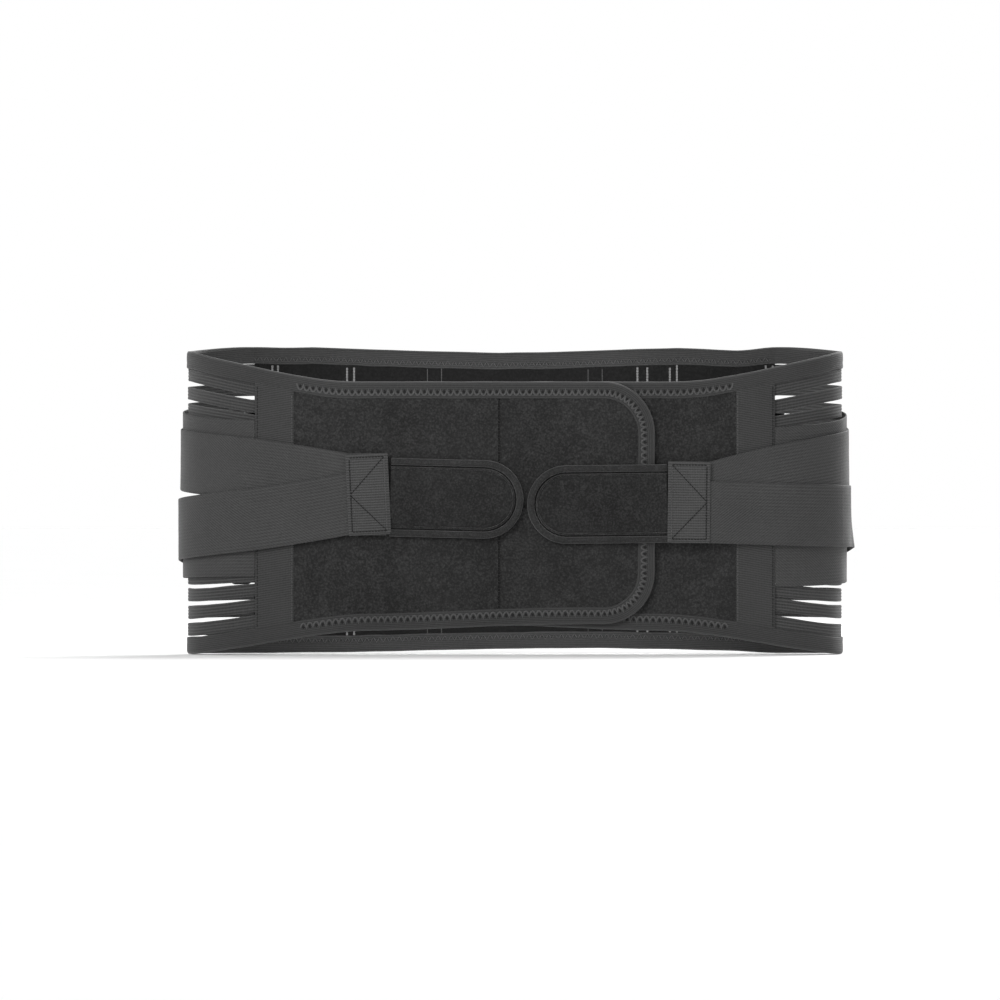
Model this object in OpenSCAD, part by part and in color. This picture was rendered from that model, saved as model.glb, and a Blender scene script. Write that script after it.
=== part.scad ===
// Lumbar back brace: an elastic belt with side ribs and four pull straps, shown closed and
// standing on its lower edge. +Z is up, the wearer's front faces -Y, and the origin is at the
// middle of the lower edge.
//
// Places on the belt are given as [w, z, d]: w is the distance along the belt from the outermost
// line of a side bend, positive towards the front; z is the height; d is how far outside the
// middle of the belt's thickness it lies. Every side piece is drawn on the +X side and mirrored.

/* [Belt] */
// Distance between the centres of the two side bends
bend_span = 356; // [330:1:380]
// Radius of the side bends
bend_r = 52; // [50:1:56]
// How far the front bulges past the side bends
front_bow = 12; // [9:1:15]
// Height of the upper edge at the back
back_top = 217; // [212:1:222]
// Height of the upper edge at the side bends
side_top = 213.5; // [210:0.5:216]
// Height of the upper edge at the front
front_top = 191.5; // [188:0.5:196]
// How far the lower edge rises along the side
side_rise = 17; // [14:0.5:19]
// How much further the lower edge rises towards the middle of the front
front_rise = 4.5; // [2:0.5:6]
// Width of the edge binding
binding_w = 12; // [10.5:0.5:13]
// Thickness of the binding tape
binding_t = 0.8; // [0.6:0.1:0.9]

/* [Back panel] */
// Width of the back panel
back_w = 369.2; // [366:0.1:372]
// Thickness of the inner lining
lining_t = 0.8; // [0.6:0.1:1]
// Width of the stay tapes and edge tapes
tape_w = 25.5; // [24:0.5:27]
// Distance between neighbouring stay tapes
tape_pitch = 57.4; // [56:0.1:58]
// Thickness of tape cloth
tape_t = 0.6; // [0.5:0.1:0.7]
// Width of a stay
stay_w = 12; // [10:0.5:14]
// Thickness of a stay
stay_t = 1; // [0.8:0.1:1]
// Width of the centre tape over the lumbar bands
centre_tape_w = 26.7; // [25:0.1:28]

/* [Side ribs] */
// Number of ribs on each side
rib_count = 16; // [12:1:16]
// Height of one rib
rib_h = 9.1; // [7:0.1:9.2]
// Thickness of one rib
rib_t = 1.2; // [1:0.1:1.4]

/* [Front panels] */
// Thickness of the front panels
panel_t = 3; // [2.6:0.1:3]
// How far past the middle the left panel reaches
left_reach = 98; // [90:1:100]
// How far past the middle the right panel reaches beneath it
right_reach = 50; // [40:1:60]
// Corner radius of the panel ends
corner_r = 36; // [30:1:40]
// How much deeper the right panel lies
under_d = 5.2; // [5.1:0.1:5.6]
// Place of the seam between the left panel and its closure flap
seam_x = 11; // [5:1:20]
// Outer edge of the front tapes, from the middle
front_tape_out = 182; // [178:1:184]
// Inner edge of the front tapes, from the middle
front_tape_in = 155; // [152:1:158]

/* [Lumbar bands and rings] */
// Width of a lumbar band
band_w = 41.5; // [38:0.5:42]
// Thickness of a lumbar band
band_t = 1.2; // [1:0.1:1.2]
// How far the outer layer of an upper band rises towards the middle
upper_rise = 10; // [6:0.5:11]
// How far the inner layer of an upper band drops towards the middle
upper_drop = 3; // [0:0.5:4]
// How far the outer layer of a lower band rises towards the middle
lower_rise = 4; // [2:0.5:5]
// How far the inner layer of a lower band drops towards the middle
lower_drop = 7; // [4:0.5:8]
// Height of the upper rings
ring_high = 153.5; // [150:0.5:157]
// Height of the lower rings
ring_low = 74.5; // [72:0.5:78]
// Distance from the middle of the back to a ring's inner bar
ring_x = 188; // [186:0.5:190]
// Distance between a ring's two bars
ring_pitch = 13; // [12.5:0.1:14]
// Width of a ring's bars
bar_w = 3.6; // [3.2:0.1:3.6]
// Thickness of a ring
bar_t = 3; // [2.6:0.1:3]
// Opening height of a ring
ring_open = 44; // [44:0.5:46]
// How far a ring leans in to follow the side bend, in degrees
ring_tilt = 16; // [14:1:18]

/* [Pull straps] */
// Width of the webbing
strap_w = 43.5; // [42:0.5:43.6]
// Thickness of the webbing
strap_t = 1.3; // [1.1:0.1:1.3]
// Height of a stitched patch
patch_h = 57; // [54:1:60]
// Width of a stitched patch
patch_w = 30; // [26:1:32]
// Height of a pull tab
tab_h = 55; // [52:1:56]
// Diameter of the tab's piped edge
piping_d = 4.6; // [4:0.1:4.8]

/* [Hidden] */

// Colours
dark_loop = [0.19, 0.19, 0.19];
dark_cloth = [0.25, 0.25, 0.25];
webbing_grey = [0.3, 0.3, 0.3];
tape_grey = [0.28, 0.28, 0.28];
hook_black = [0.08, 0.08, 0.08];
ring_black = [0.12, 0.12, 0.12];
stay_silver = [0.7, 0.71, 0.72];

// Each strap's heights at the patch, at the side bend, at the ring, and where its return layer
// ends at the front tape; then how far out it runs at the side bend and at the patch
left_upper = [119.5, 137, ring_high, 143, 5.2, 3.9];
left_lower = [105.5, 87.5, ring_low, 76.5, 6.75, 5.6];
right_upper = [113.5, 137, ring_high, 138, 5.2, 3.9];
right_lower = [100, 97, ring_low, 69.5, 6.75, 5.6];

// What each side's pull does: patch's outer edge and tab tip from the middle, patch's height,
// tab's height
left_pull = [117, -6, 112.5, 110.5];
right_pull = [136, 8.5, 107, 106];

// Half the small gap where a piece is divided at a folding line
half_gap = 0.2;
// Thickness of the centre tape and of the front tapes
centre_tape_t = 1;
front_tape_t = 1;
// Where the closure's hook patch lies: from the middle, and its lower and upper edges
closure_hook_x = [22, 80];
closure_hook_z = [62, 150];
// Distance between the bend lines that all curved layers share
step = 12;
// Play between sewn layers
play = 0.1;
// Gap between a tape's end and the binding it stops at
edge_gap = 0.2;
// Gap between the back panel's edge and the ribs
rib_gap = 0.3;
// How far ribs and front panels reach in under the front tapes
rib_tuck = 5;
panel_tuck = 5.5;
// How far outside the front tape a strap's return layer ends
sewn_gap = 0.4;
// How far a pull strap stops short of its patch's inner edge
strap_short = 3;
// Gap between a band's fold and its ring's bar, and between a patch and the straps beneath it
fold_gap = 0.06;
patch_gap = 0.35;
// How far past the bindings the stays and their channels begin, and a channel's play at each side
stay_inset = 4;
channel_inset = 3;
channel_play = 0.5;
// Length over which the inner layer of a band drops
drop_over = 70;
// Height of a ring's end bars, the radius of its corners and of its slot's corners
end_bar = 4;
ring_corner_r = 4;
slot_corner_r = 1.2;
// Length left clear of bend lines before a trim turns its corner
corner_lead = 6;

// Layers, as distances outside the middle of the belt
panel_d = panel_t / 2;
binding_d = panel_d + binding_t;
tape_d = panel_d + stay_t + tape_t;
band_under_d = tape_d + play + band_t / 2;
fold_r = norm([bar_w, bar_t]) / 2 + fold_gap + band_t / 2;
inner_bar_d = band_under_d + fold_r;
band_centre_d = band_under_d + band_t + play;
band_out_d = inner_bar_d + fold_r + band_t / 2;
return_d = 3.6;
patch_low_d = left_lower[5] + strap_t / 2 + patch_gap;
patch_t = 1;
hook_low_d = 2.5;
hook_t = 1;
tab_low_d = hook_low_d + hook_t;
tab_t = 3;
piping_mid_d = tab_low_d + tab_t / 2;
tab_out_d = piping_mid_d + piping_d / 2;
loop_r = 4.25;

// Lengths along the belt
bend_x = bend_span / 2;
quarter = bend_r * PI / 2;
front_c = (bend_x * bend_x - front_bow * front_bow) / (2 * front_bow);
front_r = front_c + bend_r + front_bow;
front_turn = atan(bend_x / front_c);
bend_end = bend_r * (90 - front_turn) * PI / 180;
mid_y = (front_bow + tab_out_d - band_out_d) / 2;
back_y = mid_y + bend_r;
half_back = back_w / 2;
rear_from = half_back + rib_gap - bend_x - quarter;
flat_to = 14;
rise_to = 164;
drop_to = 150;
tuck = 6;
sink_from = 80;
sink_to = 145;
strap_split = 25.4;
w_ring = -62;
w_sewn = front_w(front_tape_out + sewn_gap);
sewn_d = 1.5;
return_drop_from = 20;
loop_from = -56;
loop_out_d = 11.6;
loop_lead = 1.5;
strap_drop_from = 30;
strap_drop_to = 105;

function smooth(t) = let (u = min(max(t, 0), 1)) u * u * (3 - 2 * u);
function mix(a, b, t) = a + (b - a) * t;
function steps(a, b, n) = [for (i = [0:n]) mix(a, b, i / n)];
function flip(list) = [for (i = [len(list) - 1:-1:0]) list[i]];
// Distances from a to b along the belt, with the shared bend lines between them
function span(a, b) = concat([a],
    [for (i = [ceil((a + 2) / step):floor((b - 2) / step)]) i * step], [b]);

// The belt's line seen from above: straight back, round side bend, gently bowed front
function facing(w) = w < -quarter ? 0
    : w < bend_end ? 90 + w / bend_r * 180 / PI
    : 180 - front_turn + (w - bend_end) / front_r * 180 / PI;
function belt_line(w) = w < -quarter ? [bend_x + w + quarter, bend_r]
    : w < bend_end ? [bend_x, 0] + bend_r * [sin(facing(w)), cos(facing(w))]
    : [0, front_c] + front_r * [sin(facing(w)), cos(facing(w))];
function at(w, d) = belt_line(w) + d * [sin(facing(w)), cos(facing(w))] + [0, mid_y];
function front_w(x) = bend_end + front_r * (front_turn - asin(x / front_r)) * PI / 180;

// Heights of the belt's two edges
function top(w) = w < 0 ? mix(side_top, back_top, smooth(-w / -rear_from))
    : mix(side_top, front_top, smooth(w / drop_to));
function low(w) = side_rise * smooth((w - flat_to) / (rise_to - flat_to))
    + front_rise * smooth((w - drop_to) / drop_to);

// How far a wing lies inside the belt's line as it passes under the other one
function sink(under, w) = -under * smooth((w - sink_from) / (sink_to - sink_from));

// A solid through matching rings of points
module sweep(rings) {
    m = len(rings[0]);
    last = len(rings) - 1;
    start_cap = [for (j = [m - 1:-1:0]) j];
    end_cap = [for (j = [0:m - 1]) last * m + j];
    sides = [for (i = [0:last - 1]) for (j = [0:m - 1])
        [i * m + j, i * m + (j + 1) % m, (i + 1) * m + (j + 1) % m, (i + 1) * m + j]];
    polyhedron(points = [for (r = rings) each r], faces = concat([start_cap], sides, [end_cap]));
}

// A strip standing on edge through stations [x, y, lower edge, upper edge]
module strip(stations, t) {
    last = len(stations) - 1;
    sweep([for (i = [0:last]) let (
        s = stations[i],
        a = stations[max(i - 1, 0)],
        b = stations[min(i + 1, last)],
        out = t / 2 / norm([b.x - a.x, b.y - a.y]) * [a.y - b.y, b.x - a.x])
        [[s.x + out.x, s.y + out.y, s[2]], [s.x - out.x, s.y - out.y, s[2]],
        [s.x - out.x, s.y - out.y, s[3]], [s.x + out.x, s.y + out.y, s[3]]]]);
}

// An edge trim through stations [w, z, inward w, inward z], with a profile of [inward, d] points
module trim(stations, profile, under) {
    sweep([for (s = stations) [for (p = profile) let (
        w = s[0] + p[0] * s[2],
        q = at(w, p[1] + sink(under, w)))
        [q.x, q.y, s[1] + p[0] * s[3]]]]);
}

module sided(side) {
    if (side == "left") mirror([1, 0, 0]) children();
    else children();
}

// ---- Back panel ----
module back_slab(x_from, x_to, d_from, d_to, inset) {
    translate([x_from, back_y + d_from, inset])
        cube([x_to - x_from, d_to - d_from, back_top - 2 * inset]);
}

module back_mesh() {
    color(dark_cloth) back_slab(-half_back, half_back, lining_t - panel_d, panel_d, tuck);
}

module back_lining() {
    color(hook_black) back_slab(-half_back, half_back, -panel_d, lining_t - panel_d, tuck);
}

module stay_tape(x) {
    color(tape_grey) difference() {
        back_slab(x - tape_w / 2, x + tape_w / 2, panel_d, tape_d, binding_w + edge_gap);
        back_slab(x - stay_w / 2 - channel_play, x + stay_w / 2 + channel_play, panel_d - 1,
            panel_d + stay_t, binding_w + channel_inset);
    }
}

module edge_tape() {
    stay_tape(half_back - tape_w / 2);
}

module back_stays() {
    edge_x = half_back - tape_w / 2;
    color(stay_silver) for (x = [-edge_x, -2 * tape_pitch, -tape_pitch, tape_pitch,
        2 * tape_pitch, edge_x])
        back_slab(x - stay_w / 2, x + stay_w / 2, panel_d, panel_d + stay_t,
            binding_w + stay_inset);
}

// Side view of the centre tape's inner face where it climbs over a pair of bands
function over_bands(z_ring, drop, rise) = let (
    low_z = z_ring - drop - band_w / 2 - 2,
    high_z = z_ring + rise + band_w / 2 + 2,
    over_d = band_centre_d + band_t / 2 + play,
    ramp = 6)
    [[panel_d, low_z - ramp], [over_d, low_z], [over_d, high_z], [panel_d, high_z + ramp]];

module centre_tape() {
    line = concat([[panel_d, binding_w + edge_gap]], over_bands(ring_low, lower_drop, lower_rise),
        over_bands(ring_high, upper_drop, upper_rise),
        [[panel_d, back_top - binding_w - edge_gap]]);
    color(tape_grey) translate([-centre_tape_w / 2, back_y, 0]) rotate([90, 0, 90])
        linear_extrude(centre_tape_w)
        polygon(concat(line, [for (p = flip(line)) p + [centre_tape_t, 0]]));
}

// ---- Bindings of the rear half ----
rear_span = flip(span(rear_from, -half_gap));
function rear_line(d) = let (half = [for (w = rear_span) at(w, d)])
    concat(half, [for (p = flip(half)) [-p.x, p.y]]);

module back_binding_bottom() {
    color(dark_cloth) difference() {
        linear_extrude(binding_w)
            polygon(concat(rear_line(binding_d), flip(rear_line(-binding_d))));
        translate([-half_back, back_y - panel_d, tuck - 1])
            cube([back_w, panel_t, binding_w]);
    }
}

module back_binding_top() {
    right = [for (w = rear_span) [at(w, 0).x, at(w, 0).y, top(w) - binding_w, top(w)]];
    left = [for (s = flip(right)) [-s.x, s.y, s[2], s[3]]];
    color(dark_cloth) difference() {
        strip(concat(right, left), 2 * binding_d);
        translate([-half_back, back_y - panel_d, back_top - 2 * binding_w])
            cube([back_w, panel_t, 2 * binding_w - tuck + 1]);
    }
}

// ---- Ribs ----
module ribs(w_from, w_to) {
    for (i = [0:rib_count - 1]) strip([for (w = span(w_from, w_to)) let (
        room = top(w) - low(w) - 2 * binding_w,
        z = low(w) + binding_w + (i + 0.5) * room / rib_count)
        [at(w, 0).x, at(w, 0).y, z - rib_h / 2, z + rib_h / 2]], rib_t);
}

module ribs_rear() {
    color(dark_cloth) ribs(rear_from, -half_gap);
}

module ribs_front() {
    color(dark_cloth) ribs(half_gap, front_w(front_tape_out - rib_tuck));
}

// ---- Wings ----
module front_tape(under) {
    color(tape_grey) strip([for (w = span(front_w(front_tape_out), front_w(front_tape_in)))
        let (q = at(w, panel_d + play + front_tape_t / 2 + sink(under, w)))
        [q.x, q.y, low(w) + binding_w + edge_gap, top(w) - binding_w - edge_gap]], front_tape_t);
}

// A panel between two distances from the middle, with its far end rounded or cut straight
module panel(x_from, x_to, rounded, under) {
    round_r = corner_r - tuck;
    w_from = front_w(x_from);
    w_to = front_w(x_to) - (rounded ? tuck : 0);
    w_round = rounded ? w_to - round_r : w_to;
    ends = rounded ? [for (a = [15:15:90]) w_round + round_r * sin(a)] : [];
    color(dark_loop) strip([for (w = concat(span(w_from, w_round), ends)) let (
        q = at(w, sink(under, w)),
        past = max(w - w_round, 0),
        cut = round_r - sqrt(max(round_r * round_r - past * past, 0)))
        [q.x, q.y, low(w) + tuck + cut, top(w) - tuck - cut]], panel_t);
}

module closure_hook() {
    color(hook_black)
        strip([for (w = span(front_w(-closure_hook_x[0]), front_w(-closure_hook_x[1])))
            let (q = at(w, -panel_d - play - hook_t / 2))
            [q.x, q.y, closure_hook_z[0], closure_hook_z[1]]], hook_t);
}

// Stations round a panel's corner, centred on w and z
function corner(w, z, from) = [for (a = [from:-15:from - 90])
    [w + corner_r * cos(a), z + corner_r * sin(a), -cos(a), -sin(a)]];

module wing_binding(reach, under) {
    slot = tuck - 1;
    slot_d = panel_d + play;
    profile = [[binding_w, binding_d], [binding_w, slot_d], [slot, slot_d],
        [slot, -slot_d], [binding_w, -slot_d], [binding_w, -binding_d], [0, -binding_d],
        [0, binding_d]];
    w_end = front_w(-reach) - corner_r;
    along = span(half_gap, w_end - corner_lead);
    color(dark_cloth) trim(concat(
        [for (w = along) [w, top(w), 0, -1]],
        corner(w_end, top(w_end) - corner_r, 90),
        corner(w_end, low(w_end) + corner_r, 0),
        [for (w = flip(along)) [w, low(w), 0, 1]]), profile, under);
}

// ---- Bands and rings ----
bar_y = back_y + inner_bar_d;

// An elastic band: outwards from the middle, round the ring's inner bar, and back beneath itself
module band(z_ring, rise, drop) {
    lift_from = 60;
    function standing(x, y, z) = [x, y, z - band_w / 2, z + band_w / 2];
    outer = [for (x = steps(half_gap, ring_x, 10))
        let (lift = max(x - lift_from, 0) / (ring_x - lift_from))
        standing(x, back_y + mix(band_centre_d, inner_bar_d + fold_r, lift),
            z_ring + rise * (1 - x / ring_x))];
    fold = [for (a = [67.5:-22.5:-67.5])
        standing(ring_x + fold_r * cos(a), bar_y + fold_r * sin(a), z_ring)];
    under = [for (x = steps(ring_x, half_gap, 6))
        standing(x, back_y + band_under_d, z_ring - drop * smooth((ring_x - x) / drop_over))];
    color(dark_cloth) strip(concat(outer, fold, under), band_t);
}

module rounded(w, h, r) {
    square([w - 2 * r, h], center = true);
    square([w, h - 2 * r], center = true);
    for (x = [-1, 1]) for (y = [-1, 1])
        translate([x * (w / 2 - r), y * (h / 2 - r)]) circle(r, $fn = 32);
}

module ring(z) {
    color(ring_black) translate([ring_x, bar_y, z]) rotate([0, 0, -ring_tilt])
        rotate([90, 0, 0]) linear_extrude(bar_t, center = true)
        translate([ring_pitch / 2, 0]) difference() {
            rounded(ring_pitch + bar_w, ring_open + 2 * end_bar, ring_corner_r);
            rounded(ring_pitch - bar_w, ring_open, slot_corner_r);
        }
}

// ---- Straps ----
// Height of a strap's outer run. It leaves the side at half its mean slope to the patch, and one
// parabola carries it on to the patch, another back to the ring
function run_z(strap, w_patch, w) = let (
    tilt = (strap[0] - strap[1]) / w_patch / 2,
    w_far = w < 0 ? w_ring : w_patch,
    z_far = w < 0 ? strap[2] : strap[0],
    bend = (z_far - strap[1] - tilt * w_far) / (w_far * w_far))
    strap[1] + w * (tilt + bend * w);
function return_z(strap, w) = mix(strap[2], strap[3], smooth((w - w_ring) / (w_sewn - w_ring)));
function return_run_d(w) = mix(return_d, sewn_d, max(w - return_drop_from, 0)
    / (w_sewn - return_drop_from));
function standing_strap(q, z) = [q.x, q.y, z - strap_w / 2, z + strap_w / 2];

module strap_loop(strap, w_patch) {
    e = [cos(ring_tilt), -sin(ring_tilt)];
    n = [sin(ring_tilt), cos(ring_tilt)];
    bar = [ring_x, bar_y] + ring_pitch * e;
    loop_high = bar + loop_r * n + loop_lead * e;
    loop_low = bar - loop_r * n + loop_lead * e;
    outer = [for (w = steps(-half_gap, loop_from, 6)) let (t = smooth(w / loop_from))
        standing_strap(at(w, mix(strap[4], loop_out_d, t)), run_z(strap, w_patch, w))];
    turn = [for (a = [90:22.5:270])
        standing_strap(bar + loop_r * (cos(a) * e + sin(a) * n), strap[2])];
    inner = [for (w = steps(loop_from, -half_gap, 6))
        standing_strap(at(w, return_d), return_z(strap, w))];
    color(webbing_grey) strip(concat(outer, [standing_strap(loop_high, strap[2])], turn,
        [standing_strap(loop_low, strap[2])], inner), strap_t);
}

function front_run_d(strap, w) = mix(strap[4], strap[5],
    smooth((w - strap_drop_from) / (strap_drop_to - strap_drop_from)));

module strap_side(strap, w_patch) {
    color(webbing_grey) {
        strip([for (w = span(half_gap, strap_split - half_gap))
            standing_strap(at(w, strap[4]), run_z(strap, w_patch, w))], strap_t);
        strip([for (w = span(half_gap, w_sewn))
            standing_strap(at(w, return_run_d(w)), return_z(strap, w))], strap_t);
    }
}

module strap_pull(strap, x_patch) {
    w_patch = front_w(x_patch);
    w_end = w_patch + patch_w - strap_short;
    color(webbing_grey) strip([for (w = span(strap_split + half_gap, w_end))
        standing_strap(at(w, front_run_d(strap, w)), run_z(strap, w_patch, min(w, w_patch)))],
        strap_t);
}

module patch(pull) {
    color(webbing_grey) strip([for (w = steps(front_w(pull[0]),
        front_w(pull[0] - patch_w) - half_gap, 2))
        let (q = at(w, patch_low_d + patch_t / 2))
        [q.x, q.y, pull[2] - patch_h / 2, pull[2] + patch_h / 2]], patch_t);
}

// ---- Tabs ----
// A tab-shaped slab: straight base, half-round tip, its outline inset from the tab's own
module tab_slab(pull, inset, d_low, t) {
    r = tab_h / 2 - inset;
    w_from = front_w(pull[0] - patch_w) + half_gap;
    w_round = front_w(pull[1]) - tab_h / 2;
    tip = [for (a = [0:12:72]) w_round + r * sin(a)];
    ends = concat(tip, [w_round + r * sin(80)]);
    strip([for (w = concat(steps(w_from, w_round - corner_lead, 4), ends)) let (
        q = at(w, d_low + t / 2),
        past = max(w - w_round, 0),
        h = sqrt(r * r - past * past))
        [q.x, q.y, pull[3] - h, pull[3] + h]], t);
}

module tab(pull) {
    color(dark_loop) tab_slab(pull, piping_d + play, tab_low_d, tab_t);
}

module tab_hook(pull) {
    color(hook_black) tab_slab(pull, piping_d + 1, hook_low_d - play / 2, hook_t);
}

module tab_piping(pull) {
    r = piping_d / 2;
    w_from = front_w(pull[0] - patch_w) + half_gap;
    w_round = front_w(pull[1]) - tab_h / 2;
    along = steps(w_from, w_round - corner_lead, 4);
    profile = [for (a = [22.5:45:360]) [r + r * sin(a), piping_mid_d + r * cos(a)]];
    tip = [for (a = [90:-15:-90]) [w_round + tab_h / 2 * cos(a),
        pull[3] + tab_h / 2 * sin(a), -cos(a), -sin(a)]];
    color(dark_cloth) trim(concat([for (w = along) [w, pull[3] + tab_h / 2, 0, -1]], tip,
        [for (w = flip(along)) [w, pull[3] - tab_h / 2, 0, 1]]), profile, 0);
}

back_mesh();
back_lining();
back_stays();
stay_tape(-2 * tape_pitch);  // stay_tape_1
stay_tape(-tape_pitch);  // stay_tape_2
stay_tape(tape_pitch);  // stay_tape_3
stay_tape(2 * tape_pitch);  // stay_tape_4
sided("left") edge_tape();  // edge_tape_left
sided("right") edge_tape();  // edge_tape_right
centre_tape();
back_binding_top();
back_binding_bottom();
sided("left") band(ring_high, upper_rise, upper_drop);  // band_left_upper
sided("left") band(ring_low, lower_rise, lower_drop);  // band_left_lower
sided("right") band(ring_high, upper_rise, upper_drop);  // band_right_upper
sided("right") band(ring_low, lower_rise, lower_drop);  // band_right_lower
sided("left") ribs_rear();  // ribs_left_rear
sided("right") ribs_rear();  // ribs_right_rear
sided("left") strap_loop(left_upper, front_w(left_pull[0]));  // strap_left_upper_loop
sided("left") strap_loop(left_lower, front_w(left_pull[0]));  // strap_left_lower_loop
sided("right") strap_loop(right_upper, front_w(right_pull[0]));  // strap_right_upper_loop
sided("right") strap_loop(right_lower, front_w(right_pull[0]));  // strap_right_lower_loop
sided("left") ring(ring_high);  // ring_left_upper
sided("left") ring(ring_low);  // ring_left_lower
sided("right") ring(ring_high);  // ring_right_upper
sided("right") ring(ring_low);  // ring_right_lower
sided("left") ribs_front();  // ribs_left_front
sided("right") ribs_front();  // ribs_right_front
sided("left") front_tape(0);  // front_tape_left
sided("right") front_tape(under_d);  // front_tape_right
sided("left") panel(front_tape_out - panel_tuck, seam_x + play, false, 0);  // front_panel_left
sided("right") panel(front_tape_out - panel_tuck, -right_reach, true, under_d);  // front_panel_right
sided("left") panel(seam_x - play, -left_reach, true, 0);  // closure_flap
sided("left") closure_hook();
sided("left") wing_binding(left_reach, 0);  // wing_binding_left
sided("right") wing_binding(right_reach, under_d);  // wing_binding_right
sided("left") strap_side(left_upper, front_w(left_pull[0]));  // strap_left_upper_side
sided("left") strap_side(left_lower, front_w(left_pull[0]));  // strap_left_lower_side
sided("right") strap_side(right_upper, front_w(right_pull[0]));  // strap_right_upper_side
sided("right") strap_side(right_lower, front_w(right_pull[0]));  // strap_right_lower_side
sided("left") strap_pull(left_upper, left_pull[0]);  // strap_left_upper_pull
sided("left") strap_pull(left_lower, left_pull[0]);  // strap_left_lower_pull
sided("right") strap_pull(right_upper, right_pull[0]);  // strap_right_upper_pull
sided("right") strap_pull(right_lower, right_pull[0]);  // strap_right_lower_pull
sided("left") patch(left_pull);  // patch_left
sided("right") patch(right_pull);  // patch_right
sided("left") tab(left_pull);  // tab_left
sided("right") tab(right_pull);  // tab_right
sided("left") tab_piping(left_pull);  // tab_piping_left
sided("right") tab_piping(right_pull);  // tab_piping_right
sided("left") tab_hook(left_pull);  // tab_hook_left
sided("right") tab_hook(right_pull);  // tab_hook_right
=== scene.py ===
import math
import bmesh
import bpy
import numpy as np
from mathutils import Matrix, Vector, noise


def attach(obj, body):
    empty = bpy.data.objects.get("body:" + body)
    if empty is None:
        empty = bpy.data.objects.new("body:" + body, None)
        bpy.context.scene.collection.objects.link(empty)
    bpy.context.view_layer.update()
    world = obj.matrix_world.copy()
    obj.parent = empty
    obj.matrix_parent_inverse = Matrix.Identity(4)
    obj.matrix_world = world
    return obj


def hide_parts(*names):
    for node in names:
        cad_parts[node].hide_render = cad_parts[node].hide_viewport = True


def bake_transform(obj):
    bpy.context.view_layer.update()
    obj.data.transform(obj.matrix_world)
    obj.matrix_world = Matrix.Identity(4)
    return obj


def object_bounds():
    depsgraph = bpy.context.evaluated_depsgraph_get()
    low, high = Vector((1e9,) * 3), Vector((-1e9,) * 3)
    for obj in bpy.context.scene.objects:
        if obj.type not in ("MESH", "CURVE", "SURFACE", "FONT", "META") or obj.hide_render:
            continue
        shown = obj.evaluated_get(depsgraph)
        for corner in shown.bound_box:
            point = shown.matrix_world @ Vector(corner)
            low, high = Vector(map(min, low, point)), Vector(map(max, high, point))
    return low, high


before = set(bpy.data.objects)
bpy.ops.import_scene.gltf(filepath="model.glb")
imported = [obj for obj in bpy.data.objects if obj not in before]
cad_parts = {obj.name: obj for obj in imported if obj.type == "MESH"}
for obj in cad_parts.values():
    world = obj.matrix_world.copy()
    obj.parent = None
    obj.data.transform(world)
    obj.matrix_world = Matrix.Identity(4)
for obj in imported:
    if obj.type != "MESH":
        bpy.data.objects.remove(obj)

cad_low, cad_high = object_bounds()

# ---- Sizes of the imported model, in millimetres ----
BEND_X, R, BOW, MID = 178.0, 52.0, 12.0, 4.447
C = (BEND_X ** 2 - BOW ** 2) / (2 * BOW)
RF = C + R + BOW
TURN = math.degrees(math.atan(BEND_X / C))
QUARTER = R * math.pi / 2
END = R * math.radians(90 - TURN)
BACK_Y = MID + R
HALF_BACK = 184.6
REAR = -74.78
BACK_TOP, SIDE_TOP, FRONT_TOP = 217.0, 213.5, 191.5
TAPER = 150.0  # length of belt line over which the front narrows
LOW_FROM, LOW_RISE, LOW_LATE = 14.0, 17.0, 4.5
UNDER, SINK_FROM, SINK_OVER = 5.2, 80.0, 65.0  # how the right panel passes under the left one
BIND, BIND_HALF = 12.0, 2.25  # width and half thickness of an edge binding
TUCK = 6.0
CORNER_R = 36
TAPE_HALF, CENTRE_D, BAND_HALF = 12.75, 1.5, 20.75
TAPE_OUT, TAPE_IN = 182, 155
TAB_R = 27.5
RING_X, RING_HIGH, RING_LOW, RING_PITCH = 188.0, 153.5, 74.5, 13.0
BAR_W, BAR_T, BAR_D = 3.6, 3.0, 6.803  # a ring bar's width, thickness and distance out from the back
BAR_Y = BACK_Y + BAR_D
TILT = math.radians(16)
STRAP, STRAP_T = 43.5, 1.3
LOOP_R, LOOP_LEAD = 4.25, 1.5  # a strap's turn round the outer bar of its ring
LOOP_FROM, LOOP_OUT = -56, 11.6
RETURN_D, SEWN_D, RETURN_DROP = 3.6, 1.5, 20
SPLIT = 25.4
W_RING = -62.0
STRAPS = {  # z at the patch, side, ring and front tape; distance out at the side and at the patch
    ("left", "upper"): (119.5, 137, 153.5, 143, 5.2, 3.9),
    ("left", "lower"): (105.5, 87.5, 74.5, 76.5, 6.75, 5.6),
    ("right", "upper"): (113.5, 137, 153.5, 138, 5.2, 3.9),
    ("right", "lower"): (100, 97, 74.5, 69.5, 6.75, 5.6)}
# x of the patch's outer edge and of the tab's tip; z of the patch and of the tab
PULLS = {"left": (117.0, -6.0, 112.5, 110.5), "right": (136.0, 8.5, 107.0, 106.0)}
SIDES = ("left", "right")
SIGN = {"left": -1, "right": 1}


def smooth(t):
    u = min(max(t, 0.0), 1.0)
    return u * u * (3 - 2 * u)


def mix(a, b, t):
    return a + (b - a) * t


def facing(w):
    """Direction that a wing faces at a place w along its belt line, from 0 at the rear."""
    if w < -QUARTER:
        return 0.0
    if w < END:
        return math.pi / 2 + w / R
    return math.pi - math.radians(TURN) + (w - END) / RF


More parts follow.
